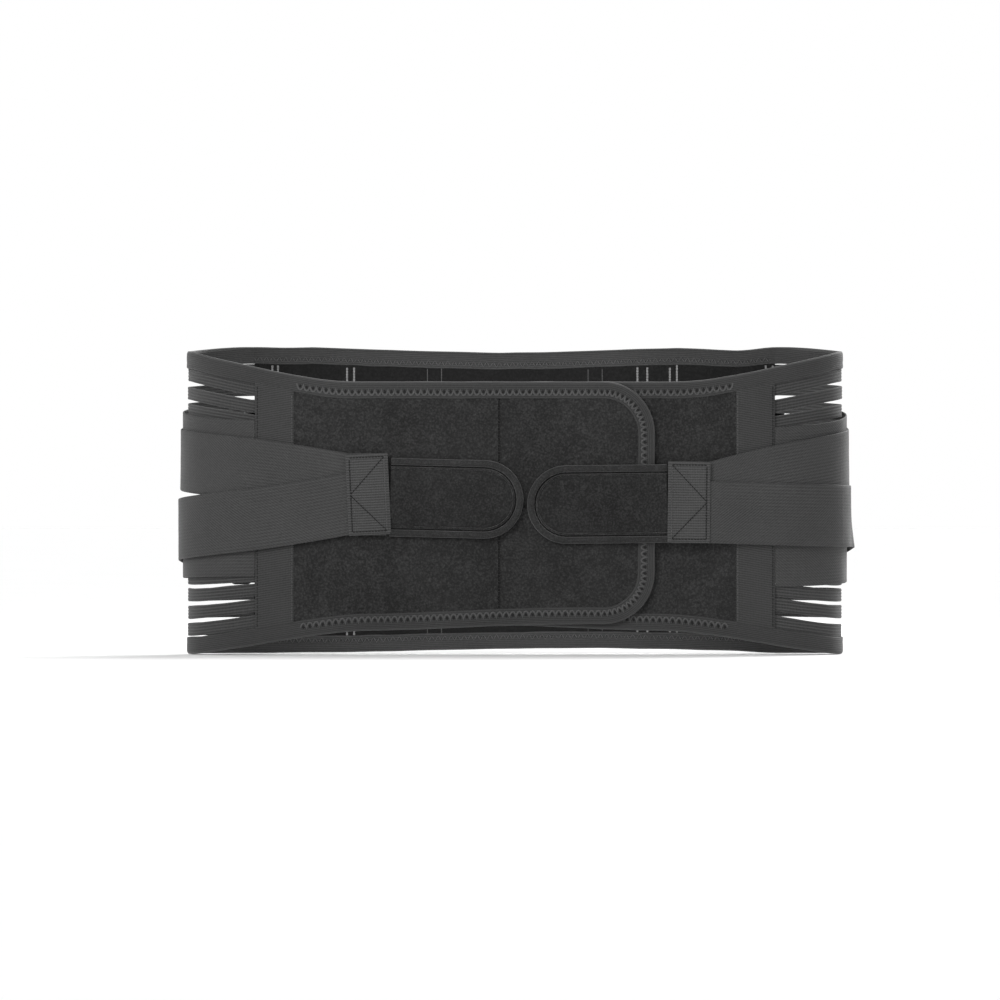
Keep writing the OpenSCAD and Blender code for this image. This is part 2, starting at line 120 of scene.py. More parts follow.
def at(w, d=0.0):
    """Point at a place on the belt line, d out from it; w is 0 at the middle of the side."""
    a = facing(w)
    if w < -QUARTER:
        x, y = BEND_X + w + QUARTER, R
    elif w < END:
        x, y = BEND_X + R * math.sin(a), R * math.cos(a)
    else:
        x, y = RF * math.sin(a), C + RF * math.cos(a)
    return x + d * math.sin(a), y + d * math.cos(a) + MID


def front_w(x):
    """Place on the belt line of a point on the front, x from the middle."""
    return END + RF * (math.radians(TURN) - math.asin(x / RF))


W_SEWN, W_SEAM, W_ZIGZAG = front_w(182.4), front_w(11), front_w(154)


def top(w):
    if w < 0:
        return mix(SIDE_TOP, BACK_TOP, smooth(w / REAR))
    return mix(SIDE_TOP, FRONT_TOP, smooth(w / TAPER))


def low(w):
    return LOW_RISE * smooth((w - LOW_FROM) / TAPER) + LOW_LATE * smooth((w - TAPER) / TAPER)


def sink(under, w):
    return -under * smooth((w - SINK_FROM) / SINK_OVER)


def wave(seed, s, size):
    return noise.noise(Vector((s / size, seed * 7.31, seed * 1.7)))


def span(a, b, step=3.0):
    n = max(2, int(math.ceil(abs(b - a) / step)))
    return [a + (b - a) * i / n for i in range(n + 1)]


# ---- Mesh building ----
def make(name, verts, faces, mat, uv=None, body=None, recalc=True, weld=0.0):
    me = bpy.data.meshes.new(name)
    me.from_pydata((np.asarray(verts, float) * 0.001).tolist(), [], [list(map(int, f)) for f in faces])
    if uv is not None:
        layer = me.uv_layers.new(name="cloth")
        idx = np.empty(len(me.loops), int)
        me.loops.foreach_get("vertex_index", idx)
        layer.data.foreach_set("uv", (np.asarray(uv, float)[idx] * 0.001).ravel().astype(np.float32))
    bm = bmesh.new()
    bm.from_mesh(me)
    if weld:
        bmesh.ops.remove_doubles(bm, verts=bm.verts, dist=weld * 0.001)
    if recalc:
        bmesh.ops.recalc_face_normals(bm, faces=bm.faces)
    for f in bm.faces:
        f.smooth = True
    bm.to_mesh(me)
    bm.free()
    me.update()
    obj = bpy.data.objects.new(name, me)
    bpy.context.scene.collection.objects.link(obj)
    me.materials.append(mat)
    me.set_sharp_from_angle(angle=math.radians(50))
    if body:
        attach(obj, body)
    return obj


def grid_faces(n, m, loop=False):
    """Quads between n rings of m points; with loop, the last ring joins the first."""
    i = np.arange(n if loop else n - 1)[:, None]
    j = np.arange(m)[None, :]
    i2, j2 = (i + 1) % n, (j + 1) % m
    q = np.stack(np.broadcast_arrays(i * m + j, i * m + j2, i2 * m + j2, i2 * m + j), -1)
    return q.reshape(-1, 4).tolist()


class Batch:
    """Several parts gathered in one mesh."""

    def __init__(self):
        self.v, self.f, self.uv, self.n = [], [], [], 0

    def add(self, verts, faces, uv=None):
        verts = np.asarray(verts, float)
        self.v.append(verts)
        self.f += [[k + self.n for k in f] for f in faces]
        self.uv.append(np.zeros((len(verts), 2)) if uv is None else np.asarray(uv, float))
        self.n += len(verts)

    def make(self, name, mat, **kw):
        return make(name, np.concatenate(self.v), self.f, mat, uv=np.concatenate(self.uv), **kw)


def sweep_arrays(p, uv):
    """Closed solid through rings of points p[n][m]."""
    n, m = p.shape[:2]
    faces = grid_faces(n, m) + [list(range(m))[::-1], list(range((n - 1) * m, n * m))]
    return p.reshape(-1, 3), faces, uv.reshape(-1, 2)


def solid(name, p, uv, mat, **kw):
    verts, faces, flat = sweep_arrays(p, uv)
    return make(name, verts, faces, mat, uv=flat, **kw)


def edge_steps(height, t, across):
    e = min(t / 2 / height, 0.2)
    mid = list(np.linspace(e, 1 - e, across + 1))
    s = [0.0, 0.3 * e] + mid + [1 - 0.3 * e, 1.0]
    f = [0.0, 0.72] + [1.0] * len(mid) + [0.72, 0.0]
    return s, f


def ribbon_arrays(stations, t, across, shape, side):
    """A flat woven strip on edge through stations (x, y, lower edge, upper edge)."""
    st = np.asarray(stations, float)
    tan = np.gradient(st[:, :2], axis=0)
    tan /= np.linalg.norm(tan, axis=1)[:, None]
    out = np.stack([-tan[:, 1], tan[:, 0]], 1)
    u = np.concatenate([[0], np.cumsum(np.linalg.norm(np.diff(st[:, :2], axis=0), axis=1))])
    height = float((st[:, 3] - st[:, 2]).max())
    s, f = edge_steps(height, t, across)
    order = [(k, 1) for k in range(len(s))] + [(k, -1) for k in range(len(s) - 2, 0, -1)]
    p = np.empty((len(st), len(order), 3))
    uv = np.empty((len(st), len(order), 2))
    for i, (x, y, z0, z1) in enumerate(st):
        for j, (k, face) in enumerate(order):
            dd, dz = shape(u[i], s[k], i, face) if shape else (0.0, 0.0)
            o = face * t / 2 * f[k] + dd
            z = z0 + s[k] * (z1 - z0) + dz
            p[i, j] = (side * (x + out[i, 0] * o), y + out[i, 1] * o, z)
            uv[i, j] = (u[i], z - z0)
    return p, uv


def ribbon(name, stations, t, mat, across, shape=None, side=1, body=None):
    p, uv = ribbon_arrays(stations, t, across, shape, side)
    return solid(name, p, uv, mat, body=body)


def tube(points, normals, radii, sides, flat):
    """Thread lying on a surface: rings of the given radii, flattened along the surface normal."""
    p = np.asarray(points, float)
    nrm = np.asarray(normals, float)
    tan = np.gradient(p, axis=0)
    tan /= np.maximum(np.linalg.norm(tan, axis=1)[:, None], 1e-9)
    nrm = nrm - (nrm * tan).sum(1)[:, None] * tan
    nrm /= np.linalg.norm(nrm, axis=1)[:, None]
    b = np.cross(tan, nrm)
    a = np.linspace(0, 2 * math.pi, sides, endpoint=False)
    r = np.broadcast_to(np.asarray(radii, float), (len(p),))
    ring = (p[:, None] + r[:, None, None] * (flat * np.cos(a)[None, :, None] * nrm[:, None]
            + np.sin(a)[None, :, None] * b[:, None]))
    m = len(p)
    faces = grid_faces(m, sides)
    faces += [list(range(sides))[::-1], list(range((m - 1) * sides, m * sides))]
    return ring.reshape(-1, 3), faces


def on_belt(side, w, d, z):
    x, y = at(w, d)
    return np.array([SIGN[side] * x, y, z])


def belt_normal(side, w):
    a = facing(w)
    return np.array([SIGN[side] * math.sin(a), math.cos(a), 0.0])


def dash_row(batch, points, normals, pitch, length, r, flat=0.6):
    """Straight stitches along a line of surface points, with one normal or one for each point."""
    p = np.asarray(points, float)
    nrm = np.broadcast_to(np.asarray(normals, float), p.shape)
    dist = np.concatenate([[0], np.cumsum(np.linalg.norm(np.diff(p, axis=0), axis=1))])
    s = pitch / 2
    while s + length / 2 < dist[-1]:
        q = np.clip(np.array([-0.5, -0.32, 0, 0.32, 0.5]) * length + s, 0, dist[-1])
        pts = np.stack([np.interp(q, dist, p[:, k]) for k in range(3)], 1)
        nn = np.stack([np.interp(q, dist, nrm[:, k]) for k in range(3)], 1)
        pts = pts + nn * (np.array([-0.5, 0.1, 0.3, 0.1, -0.5])[:, None] * r)
        batch.add(*tube(pts, nn, np.array([0.35, 0.95, 1, 0.95, 0.35]) * r, 6, flat))
        s += pitch


# ---- Materials ----
def mat_nodes(name):
    mat = bpy.data.materials.new(name)
    mat.use_nodes = True
    nt = mat.node_tree
    nt.nodes.clear()
    out = nt.nodes.new("ShaderNodeOutputMaterial")
    bsdf = nt.nodes.new("ShaderNodeBsdfPrincipled")
    nt.links.new(bsdf.outputs[0], out.inputs[0])
    return mat, Ex(nt), bsdf


class Ex:
    """Small helper that writes shader arithmetic as nodes."""

    def __init__(self, nt):
        self.nt = nt

    def m(self, op, a, b=None, c=None, clamp=False):
        n = self.nt.nodes.new("ShaderNodeMath")
        n.operation, n.use_clamp = op, clamp
        for k, v in enumerate((a, b, c)):
            if v is None:
                continue
            if isinstance(v, (int, float)):
                n.inputs[k].default_value = v
            else:
                self.nt.links.new(v, n.inputs[k])
        return n.outputs[0]

    def uv(self):
        n = self.nt.nodes.new("ShaderNodeUVMap")
        n.uv_map = "cloth"
        s = self.nt.nodes.new("ShaderNodeSeparateXYZ")
        self.nt.links.new(n.outputs[0], s.inputs[0])
        return s.outputs[0], s.outputs[1]

    def texture(self, kind, output, **values):
        n = self.nt.nodes.new("ShaderNodeTex" + kind)
        for key, value in values.items():
            n.inputs[key].default_value = value
        c = self.nt.nodes.new("ShaderNodeTexCoord")
        self.nt.links.new(c.outputs["Object"], n.inputs["Vector"])
        return n.outputs[output]

    def noise(self, scale, detail, rough):
        return self.texture("Noise", "Fac", Scale=scale, Detail=detail, Roughness=rough)

    def voronoi(self, scale):
        return self.texture("Voronoi", "Distance", Scale=scale)

    def wave(self, x, pitch, phase=0.0):
        """0 to 1 and back once each pitch (metres)."""
        angle = self.m("MULTIPLY_ADD", x, 2 * math.pi / pitch, phase)
        return self.m("MULTIPLY_ADD", self.m("SINE", angle), 0.5, 0.5)

    def ramp(self, fac, lowc, highc):
        n = self.nt.nodes.new("ShaderNodeMix")
        n.data_type = "RGBA"
        n.clamp_factor = True
        self.nt.links.new(fac, n.inputs[0])
        n.inputs[6].default_value = (*lowc, 1)
        n.inputs[7].default_value = (*highc, 1)
        return n.outputs[2]

    def bump(self, height, strength, distance):
        n = self.nt.nodes.new("ShaderNodeBump")
        n.inputs["Strength"].default_value = strength
        n.inputs["Distance"].default_value = distance
        self.nt.links.new(height, n.inputs["Height"])
        return n.outputs[0]


def grey(v):
    """Linear colour of an sRGB grey of 0 to 255."""
    c = v / 255
    c = c / 12.92 if c <= 0.04045 else ((c + 0.055) / 1.055) ** 2.4
    return c, c, c


def finish_cloth(x, bsdf, fac, height, dark, light, rough, strength, distance, sheen):
    """Colour from the weave, dust and wear; roughness from the same, and the weave's bump."""
    broad = x.noise(14, 3, 0.55)
    fuzz = x.noise(900, 2, 0.6)
    uneven = x.m("MULTIPLY_ADD", broad, 0.34, x.m("MULTIPLY_ADD", fuzz, 0.5, -0.22))
    f = x.m("ADD", x.m("MULTIPLY", fac, 0.62), uneven)
    x.nt.links.new(x.ramp(f, grey(dark), grey(light)), bsdf.inputs["Base Color"])
    x.nt.links.new(x.m("MULTIPLY_ADD", f, -0.14, rough + 0.07), bsdf.inputs["Roughness"])
    h = x.m("ADD", height, x.m("MULTIPLY", fuzz, 0.35))
    x.nt.links.new(x.bump(h, strength, distance), bsdf.inputs["Normal"])
    bsdf.inputs["Sheen Weight"].default_value = sheen
    bsdf.inputs["Sheen Roughness"].default_value = 0.45
    bsdf.inputs["Specular IOR Level"].default_value = 0.22


def ribbed(name, dark, light, pitch, cross, rough, strength, distance, fold=None):
    """Narrow fabric with ribs along its length and fine cross picks, with a painted highlight along the fold.
    """
    mat, x, bsdf = mat_nodes(name)
    u, v = x.uv()
    wob = x.m("MULTIPLY", x.noise(60, 2, 0.5), 0.0006)
    rib = x.wave(x.m("ADD", v, wob), pitch)
    pick = x.wave(x.m("ADD", u, x.m("MULTIPLY", rib, cross * 0.25)), cross)
    h = x.m("ADD", x.m("MULTIPLY", rib, 0.7), x.m("MULTIPLY", pick, 0.3))
    f = h
    # Painted highlight: a pale line along the fold, where the folded edge catches the light
    if fold:
        off = x.m("ABSOLUTE", x.m("SUBTRACT", v, fold))
        f = x.m("ADD", h, x.m("MULTIPLY_ADD", off, -900.0, 2.3, clamp=True))
    finish_cloth(x, bsdf, f, h, dark, light, rough, strength, distance, 0.15)
    return mat


def twill(name, dark, light, pitch, slope, ridge):
    """Strap webbing: diagonal twill lines with fine lengthwise ribs that fade in and out."""
    mat, x, bsdf = mat_nodes(name)
    u, v = x.uv()
    diag = x.wave(x.m("ADD", x.m("MULTIPLY", u, slope), v), pitch)
    diag2 = x.wave(x.m("SUBTRACT", x.m("MULTIPLY", u, slope * 1.6), v), pitch * 0.62)
    rib = x.wave(v, ridge)
    blend_fac = x.noise(22, 1, 0.5)
    a = x.m("MULTIPLY", diag, x.m("MULTIPLY_ADD", blend_fac, 1.2, -0.1, clamp=True))
    b = x.m("MULTIPLY", rib, x.m("MULTIPLY_ADD", blend_fac, -1.3, 0.95, clamp=True))
    h = x.m("ADD", x.m("MULTIPLY", x.m("ADD", a, b), 0.75), x.m("MULTIPLY", diag2, 0.25))
    finish_cloth(x, bsdf, h, h, dark, light, 0.75, 0.5, 0.0003, 0.15)
    return mat


def loop_pile(name, dark, light, size=520, rough=0.95, strength=0.9, distance=0.0006, sheen=0.2):
    """Brushed loop fabric: tangled short pile, speckled at about a millimetre."""
    mat, x, bsdf = mat_nodes(name)
    cells = x.voronoi(size * 1.3)
    tangle = x.noise(size, 4, 0.65)
    clump = x.noise(size / 6, 3, 0.6)
    h = x.m("ADD", x.m("MULTIPLY", tangle, 0.75), x.m("SUBTRACT", x.m("MULTIPLY", clump, 0.35),
            x.m("MULTIPLY", cells, 0.35)))
    f = x.m("MULTIPLY_ADD", h, 2.4, -0.72, clamp=True)
    finish_cloth(x, bsdf, f, h, dark, light, rough, strength, distance, sheen)
    return mat


def sandy(name, dark, light):
    """Fine knitted elastic: a sandy grain over faint lengthwise lines."""
    mat, x, bsdf = mat_nodes(name)
    u, v = x.uv()
    grain = x.noise(1100, 3, 0.7)
    line = x.wave(x.m("ADD", v, x.m("MULTIPLY", x.noise(40, 1, 0.5), 0.0008)), 0.0015)
    h = x.m("ADD", x.m("MULTIPLY_ADD", grain, 1.6, -0.42), x.m("MULTIPLY", line, 0.18))
    finish_cloth(x, bsdf, h, h, dark, light, 0.86, 0.5, 0.0003, 0.15)
    return mat


def netting(name, dark, light):
    """Spacer mesh: paler yarns along the diamond lattice between the holes, whose UVs are lattice steps."""
    mat, x, bsdf = mat_nodes(name)
    a, b = x.uv()
    ridge = [x.m("POWER", x.wave(k, 0.002, -math.pi / 2), 3.0) for k in (a, b)]
    yarn = x.m("MAXIMUM", *ridge)
    twist = x.wave(x.m("ADD", x.m("MULTIPLY", a, 5.0), x.m("MULTIPLY", b, 3.0)), 0.002)
    h = x.m("ADD", x.m("MULTIPLY", yarn, 0.85), x.m("MULTIPLY", twist, 0.15))
    finish_cloth(x, bsdf, x.m("MULTIPLY", h, 1.35), h, dark, light, 0.8, 0.6, 0.0003, 0.1)
    return mat


def thread(name, dark, light):
    mat, x, bsdf = mat_nodes(name)
    t = x.wave(x.m("ADD", x.noise(500, 1, 0.5), x.noise(1800, 2, 0.5)), 0.2)
    finish_cloth(x, bsdf, t, t, dark, light, 0.65, 0.4, 0.0001, 0.1)
    return mat


def moulded(name, dark, light):
    """Glossy moulded plastic with a faint orange peel and handling marks."""
    mat, x, bsdf = mat_nodes(name)
    peel = x.noise(420, 2, 0.4)
    marks = x.noise(90, 4, 0.7)
    x.nt.links.new(x.ramp(marks, grey(dark), grey(light)), bsdf.inputs["Base Color"])
    x.nt.links.new(x.m("MULTIPLY_ADD", marks, 0.25, 0.14), bsdf.inputs["Roughness"])
    x.nt.links.new(x.bump(peel, 0.12, 0.0002), bsdf.inputs["Normal"])
    bsdf.inputs["Coat Weight"].default_value = 0.25
    bsdf.inputs["Coat Roughness"].default_value = 0.2
    return mat


# dark and light are sRGB greys of 0 to 255
M = {
    "rib": ribbed("rib_elastic", 20, 68, 0.0021, 0.0011, 0.85, 0.7, 0.0005),
    # The binding gets a painted highlight along its fold, 13.4 mm across the tape
    "binding": ribbed("binding_tape", 26, 60, 0.0013, 0.0009, 0.88, 0.5, 0.0003, fold=0.0134),
    "tape": ribbed("tape_grosgrain", 28, 60, 0.0016, 0.0011, 0.85, 0.45, 0.0003),
    "patch": ribbed("patch_grosgrain", 28, 72, 0.0018, 0.0012, 0.82, 0.6, 0.0004),
    "band": sandy("band_elastic", 20, 54),
    "webbing": twill("strap_webbing", 24, 68, 0.0019, 0.8, 0.0023),
    "loop": loop_pile("loop_fabric", 10, 58),
    "tab": loop_pile("tab_loop_fabric", 8, 54, 560),
    "piping": loop_pile("piping_fabric", 18, 56, 900, 0.85, 0.4, 0.0003, 0.2),
    "hook": loop_pile("hook_fabric", 8, 36, 700, 0.6, 0.9, 0.0006, 0.0),
    "lining": loop_pile("lining_fabric", 4, 20, 420, 0.9, 0.5, 0.0004, 0.1),
    "mesh": netting("spacer_mesh", 10, 70),
    "backing": loop_pile("mesh_backing", 4, 14, 600, 0.9, 0.5, 0.0003, 0.0),
    "thread": thread("thread_grey", 48, 80),
    # Near-black thread, also used for painted shade in the tab grooves and along the flap seam
    "dark_thread_and_groove_shade": thread("dark_thread_and_groove_shade", 3, 14),
    "thread_light": thread("thread_light", 84, 120),
    # Painted shade: near-black marks that stand for the shade in the needle holes
    "hole": thread("needle_hole_shade", 3, 12),
    "ring": moulded("ring_plastic", 28, 50),
    "steel": moulded("stay_steel", 120, 160),
}
M["steel"].node_tree.nodes["Principled BSDF"].inputs["Metallic"].default_value = 1.0

# ---- Camera, light and floor ----
scene = bpy.context.scene
scene.view_settings.view_transform = "Standard"
scene.view_settings.look = "None"
cam = bpy.data.objects.new("camera", bpy.data.cameras.new("camera"))
scene.collection.objects.link(cam)
scene.camera = cam
middle = (cad_low + cad_high) / 2
distance = 9.0
cam.location = (middle.x - 0.0105, cad_low.y - distance, middle.z)
cam.rotation_euler = (math.radians(90), 0, 0)
cam.data.sensor_width = 36
cam.data.lens = 36 * distance / 0.700
cam.data.clip_end = 60

world = bpy.data.worlds.new("studio")
scene.world = world
world.use_nodes = True
wnt = world.node_tree
sky = wnt.nodes["Background"]
place_node, parts_node = wnt.nodes.new("ShaderNodeTexCoord"), wnt.nodes.new("ShaderNodeSeparateXYZ")
height_node = wnt.nodes.new("ShaderNodeMapRange")
for key, value in (("From Min", 0.22), ("From Max", 0.55), ("To Min", 1.0), ("To Max", 0.3)):
    height_node.inputs[key].default_value = value
wnt.links.new(place_node.outputs["Generated"], parts_node.inputs[0])
wnt.links.new(parts_node.outputs[2], height_node.inputs[0])
wnt.links.new(height_node.outputs[0], sky.inputs[1])
sky.inputs[0].default_value = (1, 1, 1, 1)


def lamp(name, kind, place, size, power, aim=(0, 0, 0.1)):
    data = bpy.data.lights.new(name, kind)
    data.energy = power
    if kind == "SUN":
        data.angle = math.radians(size)
    else:
        data.shape, data.size = "DISK", size
    obj = bpy.data.objects.new(name, data)
    scene.collection.objects.link(obj)
    obj.location = place
    obj.rotation_euler = (Vector(aim) - Vector(place)).to_track_quat("-Z", "Y").to_euler()
    obj.visible_camera = False


lamp("sun_front", "SUN", (-1.2, -2.3, 1.9), 35, 1.25)
lamp("sun_rear", "SUN", (1.1, 2.2, 2.0), 35, 2.0)
lamp("key", "AREA", (-1.2, -1.8, 1.0), 0.9, 15)
lamp("rear_key", "AREA", (1.2, 1.9, 1.0), 0.9, 32)
lamp("low_fill", "AREA", (0.15, -2.3, 0.12), 0.5, 9)
for x in (-0.11, 0, 0.11):
    lamp(f"inner_fill_{x}", "AREA", (x, -0.03, 0.1), 0.14, 0.18, (x, 1, 0.1))

turns = np.linspace(0, 2 * math.pi, 64, endpoint=False)
disc = [(1000 * r * math.cos(a), 1000 * r * math.sin(a), -0.4) for r in (1, 4, 40) for a in turns]
disc.append((0, 0, -0.4))
floor_faces = grid_faces(3, 64) + [[192, j, (j + 1) % 64] for j in range(64)]
floor_mat, fx, floor_bsdf = mat_nodes("floor_paper")
floor_colour = fx.ramp(fx.noise(3, 2, 0.5), (0.93, 0.93, 0.93), (0.96, 0.96, 0.96))
fx.nt.links.new(floor_colour, floor_bsdf.inputs["Base Color"])
floor_bsdf.inputs["Roughness"].default_value = 0.95
floor = make("floor", disc, floor_faces, floor_mat, recalc=False)


def across_side(obj):
    """Bakes the transform into the mesh of cloth that crosses the side bend."""
    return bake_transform(obj)


def dress(obj, slot, *nodes):
    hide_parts(*nodes)
    return obj


# ---- Back panel ----
WAVY_TOP = ([-185, -143, -80, -10, 31, 73, 115, 157, 185], [-1.2, 0, -2.3, -4, -3.3, -1.8, -0.5, -2.3, -3.2])
WAVY_LOW = ([-185, -120, -60, 0, 60, 120, 185], [0.2, 0.4, 1.8, 3.0, 3.4, 2.4, 0.6])


def back_z(x, z):
    """Height of a point on the back panel, whose edges are slightly wavy."""
    hi = float(np.interp(x, *WAVY_TOP))
    lo = float(np.interp(x, *WAVY_LOW))
    fade = smooth((HALF_BACK - abs(x)) / 30)
    t = z / BACK_TOP
    return z + fade * (lo * (1 - smooth(t / 0.3)) + hi * smooth((t - 0.7) / 0.3))


def back_wave(x, z):
    """Slight unevenness of the back panel, outwards."""
    return 0.35 * wave(1, x, 60) + 0.25 * wave(2, z + 0.4 * x, 45)


def back_sheet(name, x0, x1, z0, z1, d, t, mat, across=30, relief=None, step=4.0):
    def shape(u, s, i, face):
        x, z = x0 + u, mix(z0, z1, s)
        r = relief(x, z) if relief else 0.0
        return back_wave(x, z) + r, back_z(x, z) - z
    stations = [(x, BACK_Y + d, z0, z1) for x in span(x0, x1, step)]
    return ribbon(name, stations, t, mat, across, shape, body="root")


TAPES = {"stay_tape_1": -114.8, "stay_tape_2": -57.4, "stay_tape_3": 57.4, "stay_tape_4": 114.8,
         "edge_tape_left": -171.85, "edge_tape_right": 171.85}
lining = back_sheet("back_lining_cloth", -HALF_BACK, HALF_BACK, TUCK, BACK_TOP - TUCK, -1.1, 0.8, M["lining"])
dress(lining, "lining", "back_lining")
backing = back_sheet("spacer_mesh_backing", -HALF_BACK + 0.3, HALF_BACK - 0.3, TUCK, BACK_TOP - TUCK, 0.0, 1.2,
                     M["backing"])
dress(backing, "spacer_mesh", "back_mesh")


def mesh_net():
    """Spacer mesh seen in the windows: diamond cells 5.6 mm wide and 6 mm high, each with an oval hole."""
    px, pz = 2.8, 3.0
    third = 1 / 3
    corner = [(1, 0), (1 - third, third), (third, 1 - third), (0, 1), (-third, 1 - third),
              (third - 1, third), (-1, 0), (third - 1, -third), (-third, third - 1), (0, -1),
              (third, third - 1), (1 - third, -third)]
    angle = [math.atan2(b, a) for a, b in corner]
    batch = Batch()
    z0, z1 = BIND - 3, BACK_TOP - BIND + 3
    for a, b in ((13.35, 44.65), (70.15, 102.05), (127.55, 159.1)):
        for sign in (-1, 1):
            cols = int(math.ceil((b - a + 5.0) / (2 * px)))
            start = (a + b) / 2 - cols * px
            for r in range(int((z1 - z0) / pz)):
                for c in range(cols):
                    x0 = sign * (start + (c + 0.5) * 2 * px + (r % 2 - 0.5) * px)
                    zc = z0 + (r + 0.5) * pz
                    jx, jz = 0.15 * wave(3, x0 + 9 * r, 5), 0.12 * wave(4, x0 * 3 + zc, 7)
                    hx, hz = 1.62 + 0.12 * wave(5, x0 + zc * 2, 9), 1.12 + 0.1 * wave(6, x0 - zc, 8)
                    rings = [(x0 + px * a2, zc + pz * b2, 2.0, a2, b2) for a2, b2 in corner]
                    rings += [(x0 + px * a2 * 0.8, zc + pz * b2 * 0.8, 1.86, 0.8 * a2, 0.8 * b2)
                              for a2, b2 in corner]
                    for grow, d in ((1.1, 1.5), (1.0, 1.3), (0.95, 0.7)):
                        for k in range(12):
                            dx, dz = hx * grow * math.cos(angle[k]), hz * grow * math.sin(angle[k])
                            rings.append((x0 + jx + dx, zc + jz + dz, d, dx / px * 0.8, dz / pz * 0.8))
                    verts = [(x, BACK_Y + d + back_wave(x, z), back_z(x, z)) for x, z, d, _, _ in rings]
                    uv = [(a2 + b2, a2 - b2) for _, _, _, a2, b2 in rings]
                    batch.add(verts, grid_faces(5, 12), uv)
    return batch.make("spacer_mesh_net", M["mesh"], body="root", weld=0.02)


net = dress(mesh_net(), "spacer_mesh", "back_mesh")

stitch_root = Batch()
stitch_pale = Batch()


def stay_relief(mid):
    return lambda x, z: 1.0 * smooth((8.6 - abs(x - mid)) / 3.2)


for tape_name, mid in TAPES.items():
    piece = back_sheet(tape_name + "_cloth", mid - TAPE_HALF, mid + TAPE_HALF, BIND - 1.5,
                       BACK_TOP - BIND + 1.5, 1.85, 0.6, M["tape"], 48, stay_relief(mid), 1.1)
    dress(piece, "tape", tape_name)
    for off in (-11.2, 11.2):
        zs = span(BIND, BACK_TOP - BIND, 3)
        x = mid + off
        dash_row(stitch_root, [(x, BACK_Y + 2.15 + back_wave(x, z), z) for z in zs], (0, 1, 0),
                 3.0, 2.3, 0.22)

# Rows of stitching that hold the stay channels, seen on the lining
for x in (-172, -168, -119, -114, -62, -52, 52, 62, 94, 87, 110, 115, 178, 183):
    zs = span(BIND, BACK_TOP - BIND, 3)
    pts = [(x, BACK_Y - 1.55 + back_wave(x, z), back_z(x, z)) for z in zs]
    pale = abs(x) > 80
    dash_row(stitch_pale if pale else stitch_root, pts, (0, -1, 0), 1.9, 2.2, 0.8 if pale else 0.3, 0.3)


def centre_d(z):
    """How far out the centre tape lies, over the two pairs of bands."""
    d = CENTRE_D
    for ring, drop, rise in ((RING_LOW, 7, 4), (RING_HIGH, 3, 10)):
        a, b = ring - drop - BAND_HALF - 2, ring + rise + BAND_HALF + 2
        d = max(d, mix(CENTRE_D, 5.9, smooth((z - a + 7) / 7) * smooth((b + 7 - z) / 7)))
    return d


def centre_tape():
    zs = span(BIND - 1.5, BACK_TOP - BIND + 1.5, 2.0)
    xs = [-13.35, -13.1] + list(np.linspace(-12.4, 12.4, 9)) + [13.1, 13.35]
    f = [0, 0.7] + [1] * 9 + [0.7, 0]
    order = [(k, 1) for k in range(13)] + [(k, -1) for k in range(11, 0, -1)]
    p, uv = np.empty((len(zs), 24, 3)), np.empty((len(zs), 24, 2))
    for i, z in enumerate(zs):
        for j, (k, face) in enumerate(order):
            x = xs[k] * (1 + 0.01 * wave(8, z, 20))
            y = BACK_Y + centre_d(z) + 0.5 + face * 0.45 * f[k] + 0.12 * wave(9, z, 12)
            p[i, j], uv[i, j] = (x, y, back_z(x, z)), (x, z)
    return solid("centre_tape_cloth", p, uv, M["tape"], body="root")


centre = dress(centre_tape(), "tape", "centre_tape")
for x in (-11.6, 11.6):
    zs = span(BIND, BACK_TOP - BIND, 1.5)
    dash_row(stitch_root, [(x, BACK_Y + centre_d(z) + 1.0 + 0.12 * wave(9, z, 12), back_z(x, z)) for z in zs],
             (0, 1, 0), 3.0, 2.4, 0.22)

# The steel stays keep their CAD shape, inside the tapes
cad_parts["back_stays"].data.materials.clear()
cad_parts["back_stays"].data.materials.append(M["steel"])


# ---- Edge bindings ----
def half_thick(w):
    return mix(1.45, BIND_HALF, max(smooth((-w - 52) / 20), smooth((w - 34) / 18)))


def binding_section(h):
    one = [(12.0, h - 0.85), (11.9, h - 0.3), (11.5, h - 0.02), (9.8, h), (8.2, h - 0.14), (6.6, h),
           (4, h + 0.02), (2.1, h * 0.95), (0.95, h * 0.76), (0.25, h * 0.42), (0.0, 0.0)]
    return one + [(a, -d) for a, d in one[-2::-1]]


def belt_place(side, under):
    """Gives the point at a place on a wing's belt line, a height and a distance out from it."""
    return lambda w, z, d: on_belt(side, w, d + sink(under, w), z)


def back_place(x, z, d):
    return x, BACK_Y + d, z


def binding_arrays(stations, place, thick):
    """Folded tape along stations (w, z, inward w, inward z)."""
    st = np.asarray(stations, float)
    u = np.concatenate([[0], np.cumsum(np.hypot(*np.diff(st[:, :2], axis=0).T))])
    p, uv = [], []
    for i, (w, z, iw, iz) in enumerate(st):
        h = thick(w)
        row, urow, v = [], [], 0.0
        last = None
        for a, d in binding_section(h):
            if last:
                v += math.hypot(a - last[0], d - last[1])
            last = (a, d)
            a2 = a * (1 + 0.025 * wave(11, u[i], 14)) + 0.25 * wave(12, u[i], 22)
            d2 = d + 0.2 * wave(13, u[i], 18)
            row.append(place(w + a2 * iw, z + a2 * iz, d2))
            urow.append((u[i], v))
        p.append(row)
        uv.append(urow)
    return np.array(p), np.array(uv), u


